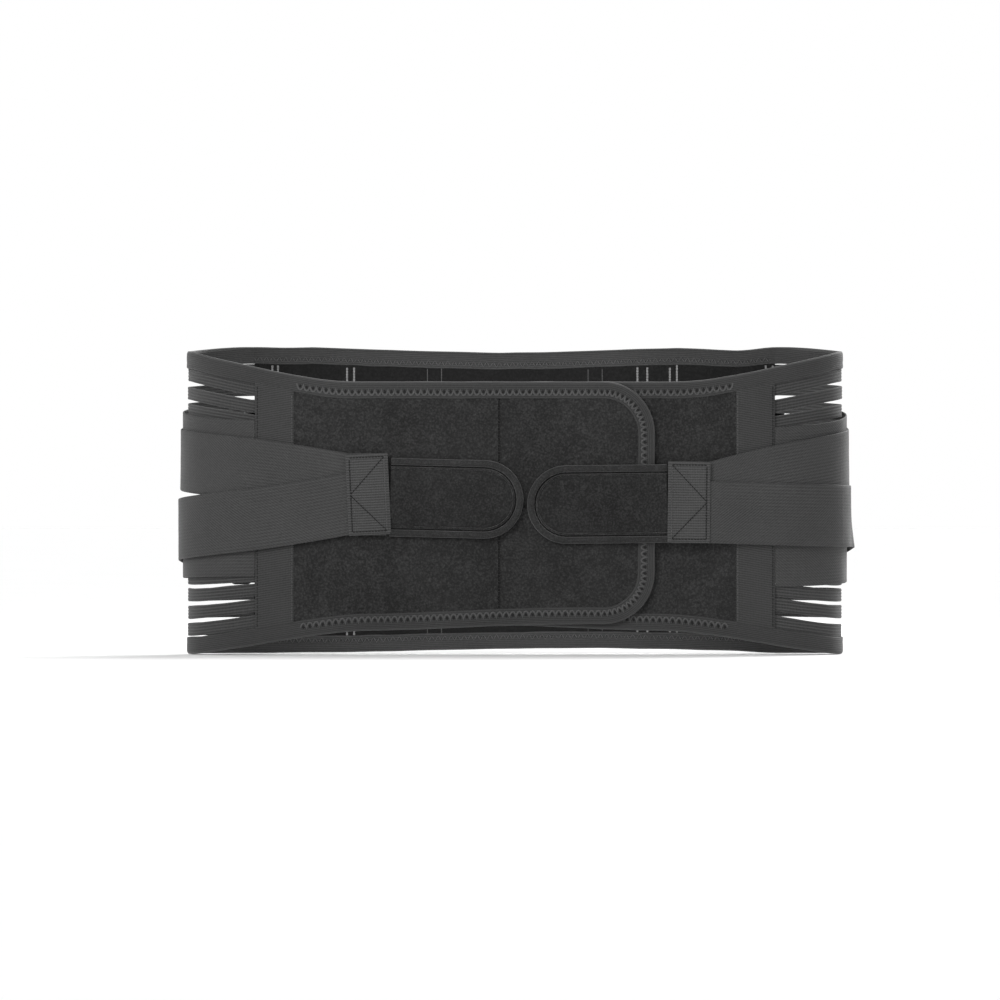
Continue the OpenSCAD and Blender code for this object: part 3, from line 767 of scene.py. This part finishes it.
def zigzag(threads, holes, stations, place, thick, normal, begin=0.0, end=1e9, scallop=False):
    """Zigzag stitching along both faces of a binding: stitches between two staggered rows of needle holes,
    or one row of holes inside scalloped loops. The holes are near-black marks, painted shade."""
    st = np.asarray(stations, float)
    u = np.concatenate([[0], np.cumsum(np.hypot(*np.diff(st[:, :2], axis=0).T))])
    end = min(end, u[-1])
    if scallop:
        turns_at = [(t, 5.4 + 4.3 * math.sin(math.pi * t) ** 0.6)
                    for t in (0, 0.06, 0.16, 0.3, 0.5, 0.7, 0.84, 0.94)]
        dots, wide, thick_r = [(0.5, 6.9)], 1.1, 0.6
    else:
        turns_at = [(0, 6.9), (0.25, 8.5), (0.5, 10.1), (0.75, 8.5)]
        dots, wide, thick_r = [(0.0, 7.5), (0.5, 9.5)], 0.8, 0.34
    pitch = 4.6
    count = int((end - begin) / pitch)

    def spot(s, a, face, lift):
        q = [np.interp(s, u, st[:, c]) for c in range(4)]
        return place(q[0] + a * q[2], q[1] + a * q[3], face * (thick(q[0]) + lift))
    for face in (1, -1):
        path = [(begin + (k + t) * pitch, a + 0.25 * wave(21, k + t, 1.7))
                for k in range(count) for t, a in turns_at]
        nrm = [np.array(normal(np.interp(s, u, st[:, 0]))) * face for s, _ in path]
        threads.add(*tube([spot(s, a, face, 0.2) for s, a in path], nrm, [thick_r] * len(path), 5, 0.7))
        # Needle holes: near-black marks on both faces of the binding, painted shade
        for k in range(count):
            for t, a in dots:
                s = begin + (k + t) * pitch
                n = np.array(normal(np.interp(s, u, st[:, 0]))) * face
                c = np.array(spot(s, a + 0.2 * wave(22, s, 5), face, 0.16))
                step = (np.array(spot(s, a + 1, face, 0.16)) - c) * wide
                holes.add(*tube([c - step, c - step * 0.6, c + step * 0.5, c + step], [n] * 4,
                                [0.1, wide * 0.62, wide * 0.9, 0.25], 6, 0.3))


zig = {key: Batch() for key in ("root", *SIDES)}
hole_shade_marks = {key: Batch() for key in ("root", *SIDES)}
for which, edge, inward in (("top", BACK_TOP, -1), ("bottom", 0.0, 1)):
    stations = [(x, back_z(x, edge), 0, inward) for x in span(-HALF_BACK - 0.8, HALF_BACK + 0.8, 3.0)]
    p, uv, _ = binding_arrays(stations, back_place, lambda w: BIND_HALF)
    piece = solid("binding_back_" + which, p, uv, M["binding"], body="root")
    dress(piece, "binding", "back_binding_" + which)
    zigzag(zig["root"], hole_shade_marks["root"], stations, back_place, lambda w: BIND_HALF, lambda w: (0, 1, 0))


def wing_line(reach):
    """The free edge of a wing and its side: along the top, round the panel's end, back along the bottom."""
    w_end = front_w(-reach) - CORNER_R
    along = span(REAR, w_end, 3.0)
    st = [(w, top(w), 0, -1) for w in along]
    for a in np.arange(84, -1, -6):
        c, s = math.cos(math.radians(a)), math.sin(math.radians(a))
        st.append((w_end + CORNER_R * c, top(w_end) - CORNER_R + CORNER_R * s, -c, -s))
    for z in span(top(w_end) - CORNER_R, low(w_end) + CORNER_R, 4.0)[1:-1]:
        st.append((w_end + CORNER_R, z, -1, 0))
    for a in np.arange(0, -85, -6):
        c, s = math.cos(math.radians(a)), math.sin(math.radians(a))
        st.append((w_end + CORNER_R * c, low(w_end) + CORNER_R + CORNER_R * s, -c, -s))
    return st + [(w, low(w), 0, 1) for w in along[::-1]]


REACH = {"left": (98.0, 0.0), "right": (50.0, UNDER)}
for side in SIDES:
    reach, under = REACH[side]
    place = belt_place(side, under)
    stations = wing_line(reach)
    p, uv, u = binding_arrays(stations, place, half_thick)
    piece = solid("binding_wing_" + side, p, uv, M["binding"])
    dress(piece, "binding", "wing_binding_" + side, "back_binding_top", "back_binding_bottom")
    across_side(piece)
    ws = np.array([s[0] for s in stations])
    first = u[int(np.argmax(ws > W_ZIGZAG))]
    last = u[len(ws) - 1 - int(np.argmax(ws[::-1] > W_ZIGZAG))]
    zigzag(zig[side], hole_shade_marks[side], stations, place, half_thick,
           lambda w, side=side: belt_normal(side, w), first, last, True)
for key, body in (("root", "root"), ("left", "left_wing"), ("right", "right_wing")):
    zig[key].make("zigzag_thread_" + key, M["thread"], body=body)
    hole_shade_marks[key].make("zigzag_hole_shade_" + key, M["hole"], body=body)


# ---- Side ribs ----
# On the left side the ribs above the notch between the two straps are bunched upwards
PARTED = {8: 6.0, 9: 4.6, 10: 3.2, 11: 1.8, 12: 0.5}
for side in SIDES:
    batch = Batch()
    for i in range(16):
        seed = i + (40 if side == "left" else 70)

        def rib_shape(u, s, k, face, seed=seed):
            cord = 0.16 * math.cos(2 * math.pi * (s * 4 - 0.5)) if 0.04 < s < 0.96 else 0.0
            return (face * cord + 0.5 * wave(seed, u, 30),
                    0.45 * wave(seed + 0.5, u, 40) + (s - 0.5) * 0.5 * wave(seed + 0.3, u, 25))
        stations = []
        for w in span(REAR - 2.5, front_w(178), 3.0):
            room = top(w) - low(w) - 2 * BIND
            z = low(w) + BIND + (i + 0.5) * room / 16 + {0: -0.9, 15: 1.2, 14: 0.3}.get(i, 0.0)
            z += 0.35 * math.sin(seed * 2.4)
            if side == "left":
                z += PARTED.get(i, 0.0) * (1 - smooth((abs(w) - 25) / 47))
            x, y = at(w, 0)
            stations.append((x, y, z - 4.55, z + 4.55))
        p, uv = ribbon_arrays(stations, 1.0, 12, rib_shape, SIGN[side])
        batch.add(*sweep_arrays(p, uv))
    piece = batch.make("side_ribs_" + side, M["rib"])
    dress(piece, "elastic_rib", f"ribs_{side}_rear", f"ribs_{side}_front")
    across_side(piece)


# ---- Front tapes and panels ----
def belt_stations(ws, d, z0, z1):
    out = []
    for w in ws:
        x, y = at(w, d(w) if callable(d) else d)
        out.append((x, y, z0(w) if callable(z0) else z0, z1(w) if callable(z1) else z1))
    return out


wing_stitch = {side: Batch() for side in SIDES}
wing_seam = {side: Batch() for side in SIDES}
for side in SIDES:
    reach, under = REACH[side]
    body = side + "_wing"
    w0, w1 = front_w(TAPE_OUT), front_w(TAPE_IN)

    def tape_shape(u, s, i, face, w0=w0):
        edge = smooth(u / 1.5) * smooth((27.2 - u) / 1.5)
        return 0.55 * (edge - 1) * (1 if face > 0 else 0) + 0.15 * wave(31, u + 90 * s, 12), 0
    st = belt_stations(span(w0, w1, 0.9), lambda w: 2.15 + sink(under, w), lambda w: low(w) + BIND - 1.5,
                       lambda w: top(w) - BIND + 1.5)
    piece = ribbon("front_tape_" + side + "_cloth", st, 1.0, M["tape"], 44, tape_shape, SIGN[side], body)
    dress(piece, "tape", "front_tape_" + side)
    for w, batch, r, pitch in ((w0 + 1.6, wing_seam[side], 0.35, 2.6), (w1 - 1.1, wing_stitch[side], 0.3, 2.6)):
        zs = span(low(w) + BIND + 0.5, top(w) - BIND - 0.5, 3)
        dash_row(batch, [on_belt(side, w, 2.68 + sink(under, w), z) for z in zs], belt_normal(side, w),
                 pitch, pitch * 0.8, r)


def pad_panel(name, side, x0, x1, rounded, under, seam=None):
    """Foam panel faced with loop fabric, crowned, and pulled down at its stitched edges."""
    w0, w1 = front_w(x0), front_w(x1) - (TUCK if rounded else 0)
    rr = CORNER_R - TUCK
    wr = w1 - rr if rounded else w1
    ws = span(w0, wr, 3.0)
    if rounded:
        ws += [wr + rr * math.sin(math.radians(a)) for a in range(6, 91, 6)]
    st = []
    for w in ws:
        past = max(w - wr, 0)
        cut = rr - math.sqrt(max(rr * rr - past * past, 0.04))
        x, y = at(w, sink(under, w))
        st.append((x, y, low(w) + TUCK + cut, top(w) - TUCK - cut))

    def shape(u, s, i, face):
        w = ws[i]
        h = st[i][3] - st[i][2]
        e = min(s, 1 - s) * h - (BIND - TUCK)
        a = min(w - w0 - 4, (w1 - w) - (6 if rounded else 0))
        edge = smooth(e / 7) * smooth(a / 6)
        if seam is not None:
            edge *= smooth(abs(w - seam) / 2.4)
        puff = 0.55 * edge - 0.1
        z = st[i][2] + s * h
        ripple = 0.32 * wave(33, w + 0.6 * z, 38) + 0.2 * wave(34, w - 1.3 * z, 21)
        return face * puff + ripple * edge, 0.0
    return ribbon(name, st, 3.0, M["loop"], 60, shape, SIGN[side], side + "_wing")


piece = dress(pad_panel("front_panel_left_pad", "left", 176.5, 11.7, False, 0, W_SEAM), "loop_fabric",
              "front_panel_left")
piece = dress(pad_panel("closure_flap_pad", "left", 10.3, -98, True, 0, W_SEAM), "loop_fabric",
              "closure_flap")
piece = dress(pad_panel("front_panel_right_pad", "right", 176.5, -50, True, UNDER), "loop_fabric",
              "front_panel_right")
piece = ribbon("closure_hook_patch", belt_stations(span(front_w(-22), front_w(-80), 3), -2.15, 62, 150), 0.8,
               M["hook"], 20, None, -1, "left_wing")
dress(piece, "hook", "closure_hook")
for z in (64, 148):
    ws = span(front_w(-22) + 1, front_w(-80) - 1, 3)
    dash_row(wing_seam["left"], [on_belt("left", w, -2.58, z) for w in ws],
             [-belt_normal("left", w) for w in ws], 3, 2.4, 0.25)

# The seam's stitches between the front panel and the flap, drawn thick, overlapping and near-black as painted
# shade of the gap between the two pads
w = W_SEAM
zs = span(low(w) + BIND, top(w) - BIND, 3)
dash_row(wing_seam["left"], [on_belt("left", w, 0.2, z) for z in zs], belt_normal("left", w),
         2.4, 2.5, 1.0)

# ---- Bands and rings ----
FOLD = math.hypot(BAR_W, BAR_T) / 2 + 0.66
for side in SIDES:
    for level, z_ring, rise, drop in (("upper", RING_HIGH, 10, 3), ("lower", RING_LOW, 4, 7)):
        seed = {"left": 50, "right": 60}[side] + (3 if level == "upper" else 0)
        st = []
        for x in span(0.2, RING_X, 4.0):
            lift = max(x - 60, 0) / (RING_X - 60)
            z = z_ring + rise * (1 - x / RING_X) + 0.5 * wave(seed, x, 60)
            grow = 0.3 * wave(seed + 1, x, 35)
            st.append((x, BACK_Y + mix(5.1, BAR_D + FOLD, lift), z - BAND_HALF - grow,
                       z + BAND_HALF + grow))
        for a in range(75, -76, -15):
            st.append((RING_X + FOLD * math.cos(math.radians(a)), BAR_Y + FOLD * math.sin(math.radians(a)),
                       z_ring - BAND_HALF, z_ring + BAND_HALF))
        for x in span(RING_X, 0.2, 4.0):
            z = z_ring - drop * smooth((RING_X - x) / 70)
            st.append((x, BACK_Y + 3.8, z - BAND_HALF, z + BAND_HALF))
        n_out = len(span(0.2, RING_X, 4.0))

        def band_shape(u, s, i, face, seed=seed, n_out=n_out):
            if i >= n_out:
                return 0.0, 0.0
            return max(0.0, 0.3 * wave(seed + 2, u + 40 * s, 30) + 0.12), 0.0
        piece = ribbon(f"band_{side}_{level}_elastic", st, 1.15, M["band"], 14, band_shape, SIGN[side], "root")
        dress(piece, "elastic_band", f"band_{side}_{level}")


def rounded_outline(w, h, r):
    n, pts = 6, []
    for cx, cz, a0 in ((w / 2 - r, h / 2 - r, 0), (-w / 2 + r, h / 2 - r, 90), (-w / 2 + r, -h / 2 + r, 180),
                       (w / 2 - r, -h / 2 + r, 270)):
        for k in range(n + 1):
            a = math.radians(a0 + 90 * k / n)
            pts.append((cx + r * math.cos(a), cz + r * math.sin(a)))
    return pts


def ring_piece(side, level, z_ring):
    outer = rounded_outline(RING_PITCH + BAR_W, 52, 4.0)
    inner = rounded_outline(RING_PITCH - BAR_W, 44, 1.2)
    section = []
    for a in np.linspace(0, 2 * math.pi, 16, endpoint=False):
        c, s = math.cos(a), math.sin(a)
        section.append((math.copysign(abs(c) ** 0.6, c), math.copysign(abs(s) ** 0.6, s)))
    p = []
    for (ox, oz), (ix, iz) in zip(outer, inner):
        row = []
        for c, s in section:
            x = (ox + ix) / 2 + (ox - ix) / 2 * c + RING_PITCH / 2
            z = (oz + iz) / 2 + (oz - iz) / 2 * c
            d = BAR_T / 2 * s
            row.append((SIGN[side] * (RING_X + x * math.cos(TILT) + d * math.sin(TILT)),
                        BAR_Y - x * math.sin(TILT) + d * math.cos(TILT), z_ring + z))
        p.append(row)
    p = np.array(p)
    obj = make(f"ring_{side}_{level}_moulded", p.reshape(-1, 3), grid_faces(len(p), 16, loop=True),
               M["ring"], body=f"{side}_{level}_ring")
    return dress(obj, "ring_plastic", f"ring_{side}_{level}")


for side in SIDES:
    ring_piece(side, "upper", RING_HIGH)
    ring_piece(side, "lower", RING_LOW)


# ---- Straps ----
def run_z(strap, w_patch, w):
    """Height of a strap's outer run, one parabola from the side to its patch and another back to its ring."""
    z_patch, z_side, z_ring = strap[:3]
    tilt = (z_patch - z_side) / w_patch / 2
    w_far, z_far = (W_RING, z_ring) if w < 0 else (w_patch, z_patch)
    bend = (z_far - z_side - tilt * w_far) / (w_far * w_far)
    return z_side + w * (tilt + bend * w)


def return_z(strap, w):
    z_ring, z_tape = strap[2:4]
    return mix(z_ring, z_tape, smooth((w - W_RING) / (W_SEWN - W_RING)))


for side in SIDES:
    w_patch = front_w(PULLS[side][0])
    for level in ("upper", "lower"):
        strap = STRAPS[side, level]
        z_ring, _, d_side, d_patch = strap[2:]
        seed = {"left": 80, "right": 90}[side] + (4 if level == "upper" else 0)
        e = (math.cos(TILT), -math.sin(TILT))
        n = (math.sin(TILT), math.cos(TILT))
        bar = (RING_X + RING_PITCH * e[0], BAR_Y + RING_PITCH * e[1])
        st = []
        ws_out = span(SPLIT, LOOP_FROM, 2.5)
        for w in ws_out:
            d = mix(d_side, LOOP_OUT, smooth(w / LOOP_FROM)) if w < 0 else d_side
            x, y = at(w, d)
            z = run_z(strap, w_patch, w)
            st.append((x, y, z - STRAP / 2, z + STRAP / 2))
        loop = [90, *range(90, 271, 15), 270]
        for k, a in enumerate(loop):
            lead = LOOP_LEAD if k in (0, len(loop) - 1) else 0.0
            c, s = math.cos(math.radians(a)), math.sin(math.radians(a))
            st.append((bar[0] + LOOP_R * (c * e[0] + s * n[0]) + lead * e[0],
                       bar[1] + LOOP_R * (c * e[1] + s * n[1]) + lead * e[1],
                       z_ring - STRAP / 2, z_ring + STRAP / 2))
        for w in span(LOOP_FROM, W_SEWN, 2.5):
            d = mix(RETURN_D, SEWN_D, max(w - RETURN_DROP, 0) / (W_SEWN - RETURN_DROP))
            x, y = at(w, d)
            z = return_z(strap, w)
            st.append((x, y, z - STRAP / 2, z + STRAP / 2))
        spots = np.array(st)
        keep = [0] + [k for k in range(1, len(st)) if math.hypot(*(spots[k, :2] - spots[k - 1, :2])) > 0.05]
        st = [st[k] for k in keep]
        lean = {"left": {"upper": -0.8, "lower": 0.2}, "right": {"upper": -0.6, "lower": -4.0}}[side][level]

        def side_shape(u, s, i, face, seed=seed, ws_out=ws_out, lean=lean):
            ripple = 0.16 * wave(seed, -u + 25 * s, 24) + 0.1 * wave(seed + 1, -u - 60 * s, 15)
            if i < len(ws_out):
                w = ws_out[i]
                twist = smooth((6 - w) / 14) * smooth((w + 52) / 26)
                return -lean * (s - 0.5) * 2 * twist * 0.8 - ripple * smooth((SPLIT - w) / 5), 0.0
            return ripple * 0.5, 0.0
        p, uv = ribbon_arrays(st, STRAP_T, 12, side_shape, SIGN[side])
        uv[:, :, 0] *= -1
        piece = solid(f"strap_{side}_{level}_side_run", p, uv, M["webbing"])
        dress(piece, "webbing", f"strap_{side}_{level}_loop", f"strap_{side}_{level}_side")
        across_side(piece)

        ws = span(SPLIT, w_patch + 27, 3.0)
        st = []
        for w in ws:
            x, y = at(w, mix(d_side, d_patch, smooth((w - 30) / 75)))
            z = run_z(strap, w_patch, min(w, w_patch))
            st.append((x, y, z - STRAP / 2, z + STRAP / 2))

        def pull_shape(u, s, i, face, seed=seed):
            fade = smooth(u / 5)
            return 0.14 * wave(seed, u + 25 * s, 30) * fade * 0.6, 0.0
        piece = ribbon(f"strap_{side}_{level}_front_run", st, STRAP_T, M["webbing"], 12, pull_shape, SIGN[side])
        dress(piece, "webbing", f"strap_{side}_{level}_pull")
        p0 = on_belt(side, SPLIT, 6, 0) * 0.001
        p1 = on_belt(side, SPLIT + 20, 6, 0) * 0.001
        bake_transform(piece)


# ---- Stitched patches and pull tabs ----
def turned(p, centre, degrees):
    """Rotates points about an axis along Y through centre (x, z)."""
    a = math.radians(degrees)
    q = p.copy()
    dx, dz = p[..., 0] - centre[0], p[..., 2] - centre[1]
    q[..., 0] = centre[0] + dx * math.cos(a) - dz * math.sin(a)
    q[..., 2] = centre[1] + dx * math.sin(a) + dz * math.cos(a)
    return q


LEAN = {"left": 2.6, "right": -0.6}
TAB_LEAN = {"left": -1.4, "right": 0.6}
for side in SIDES:
    px, tip_x, pz, tz = PULLS[side]
    sgn = SIGN[side]
    body = side + "_pull"
    w0, w1 = front_w(px), front_w(px - 29.5)
    ctr = (sgn * (px - 15), pz)

    def patch_shape(u, s, i, face):
        edge = smooth(u / 1.2) * smooth((29.4 - u) / 1.2)
        sew = math.exp(-((u - 2.6) / 0.7) ** 2) + math.exp(-((u - 26.9) / 0.7) ** 2)
        return (0.35 * (edge - 1) - 0.18 * sew) * (face > 0) + 0.1 * wave(35, u + 70 * s, 9), 0
    st = belt_stations(span(w0, w1, 0.8), 7.1, pz - 28.5, pz + 28.5)
    p, uv = ribbon_arrays(st, 1.0, 40, patch_shape, sgn)
    p = turned(p, ctr, LEAN[side])
    piece = solid(f"patch_{side}_webbing", p, uv, M["patch"], body=body)
    dress(piece, "webbing", "patch_" + side)
    dark, pale = Batch(), Batch()
    rows = [((2.6, -26), (2.6, 26), dark), ((2.6, -26), (26.9, -26), dark), ((2.6, 26), (26.9, 26), dark),
            ((26.9, -26), (26.9, 26), pale), ((2.6, 0.5), (26.9, 26), dark), ((2.6, -0.5), (26.9, -26), dark)]
    for (ua, za), (ub, zb), batch in rows:
        n = 12
        pts = np.array([on_belt(side, w0 + mix(ua, ub, k / n), 7.74, pz + mix(za, zb, k / n))
                        for k in range(n + 1)])
        dash_row(batch, turned(pts, ctr, LEAN[side]), belt_normal(side, w0 + 15), 2.2, 1.9, 0.38)
    dark.make("patch_stitches_" + side, M["dark_thread_and_groove_shade"], body=body)
    pale.make("patch_edge_stitches_" + side, M["thread"], body=body)

    # Tab: inset outlines from its rim to its middle line
    wb, wt = front_w(px - 30), front_w(tip_x)
    wr = wt - TAB_R
    outline = [(w, -1, 0.0) for w in span(wb, wr - 2, 4.0)] + [(wr, None, a) for a in range(-90, 91, 9)]
    outline += [(w, 1, 0.0) for w in span(wb, wr - 2, 4.0)[::-1]]

    def rim(k, inset):
        w, s, a = outline[k]
        r = TAB_R - inset
        if s is None:
            return w + r * math.cos(math.radians(a)), tz + r * math.sin(math.radians(a))
        return w, tz + s * r
    tab_ctr = (sgn * (px - 30), tz)

    def tab_points(profile):
        p = np.array([[on_belt(side, rim(k, e)[0], d, rim(k, e)[1]) for e, d in profile]
                      for k in range(len(outline))])
        return turned(p, tab_ctr, TAB_LEAN[side])

    def tab_blend(obj):
        p0 = on_belt(side, front_w(px - 29), 6, 0) * 0.001
        p1 = on_belt(side, front_w(px - 40), 6, 0) * 0.001
        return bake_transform(obj)

    face = [(4.2, 4.0), (4.8, 3.9), (6.0, 3.95), (6.35, 5.5), (6.8, 5.95), (7.2, 5.9), (7.5, 5.1), (7.9, 5.05),
            (8.4, 5.6), (9.4, 5.95), (11.0, 6.25), (14, 6.42), (18, 6.5), (22, 6.52), (TAB_R, 6.52)]
    under_face = [(TAB_R, 3.5), (20, 3.5), (12, 3.5), (6, 3.5), (4.6, 3.6), (4.2, 4.0)]
    top_pts, low_pts = tab_points(face), tab_points(under_face)
    for k in range(len(outline)):
        for j in range(5, len(face)):
            q = top_pts[k, j]
            q[1] += -0.22 * wave(36 + sgn, q[0] + 0.7 * q[2], 16) - 0.12 * wave(37, q[0] - q[2], 9)
    allp = np.concatenate([top_pts, low_pts], 1)
    m = allp.shape[1]
    nk = len(outline)
    mid_gap = len(face) - 1
    faces = [f for f in grid_faces(nk, m) if not (f[0] % m == mid_gap and f[1] % m == mid_gap + 1)]
    far_end = [(nk - 1) * m + j for j in range(m - 1, -1, -1) if j not in (mid_gap, mid_gap + 1)]
    faces.append(list(range(m)) + far_end)
    for j in (mid_gap, mid_gap + 1):
        allp[:, j] = (allp[:, j] + allp[::-1, j]) / 2
    piece = make(f"tab_{side}_pad", allp.reshape(-1, 3), faces, M["tab"], weld=0.01)
    dress(piece, "loop_fabric", "tab_" + side)
    tab_blend(piece)

    ring = [(2.45 - 2.4 * math.cos(a), 5.0 + (2.25 if math.sin(a) > 0 else 2.0) * math.sin(a))
            for a in np.linspace(0, 2 * math.pi, 14, endpoint=False)]
    p = tab_points(ring)
    uv = np.zeros(p.shape[:2] + (2,))
    uv[:, :, 0] = np.concatenate([[0], np.cumsum(np.linalg.norm(np.diff(p[:, 0], axis=0), axis=1))])[:, None]
    uv[:, :, 1] = np.arange(14)[None, :] * 1.05
    piece = solid(f"tab_{side}_piping", p, uv, M["piping"])
    dress(piece, "loop_fabric", "tab_piping_" + side)
    tab_blend(piece)

    p = tab_points([(6.2, 3.4), (9, 3.45), (14, 3.45), (20, 3.45), (26.8, 3.45), (26.8, 2.75), (20, 2.7),
                    (14, 2.7), (9, 2.7), (6.2, 2.8)])
    piece = make(f"tab_{side}_hook", *sweep_arrays(p, np.zeros(p.shape[:2] + (2,)))[:2], M["hook"])
    dress(piece, "hook", "tab_hook_" + side)
    tab_blend(piece)

    # Painted shade: an unbroken near-black line of dashes in the channel inside the piping, for the shade of
    # the groove
    groove_shade = Batch()
    pts = tab_points([(5.4, 4.1)])[:, 0]
    dash_row(groove_shade, pts, belt_normal(side, wr), 2.6, 2.7, 0.5)
    piece = groove_shade.make(f"tab_{side}_stitches", M["dark_thread_and_groove_shade"])
    tab_blend(piece)

for side in SIDES:
    wing_stitch[side].make("tape_stitches_" + side, M["thread"], body=side + "_wing")
    wing_seam[side].make("seam_stitches_" + side, M["dark_thread_and_groove_shade"], body=side + "_wing")
stitch_root.make("back_stitches", M["thread"], body="root")
stitch_pale.make("stay_stitches", M["thread_light"], body="root")
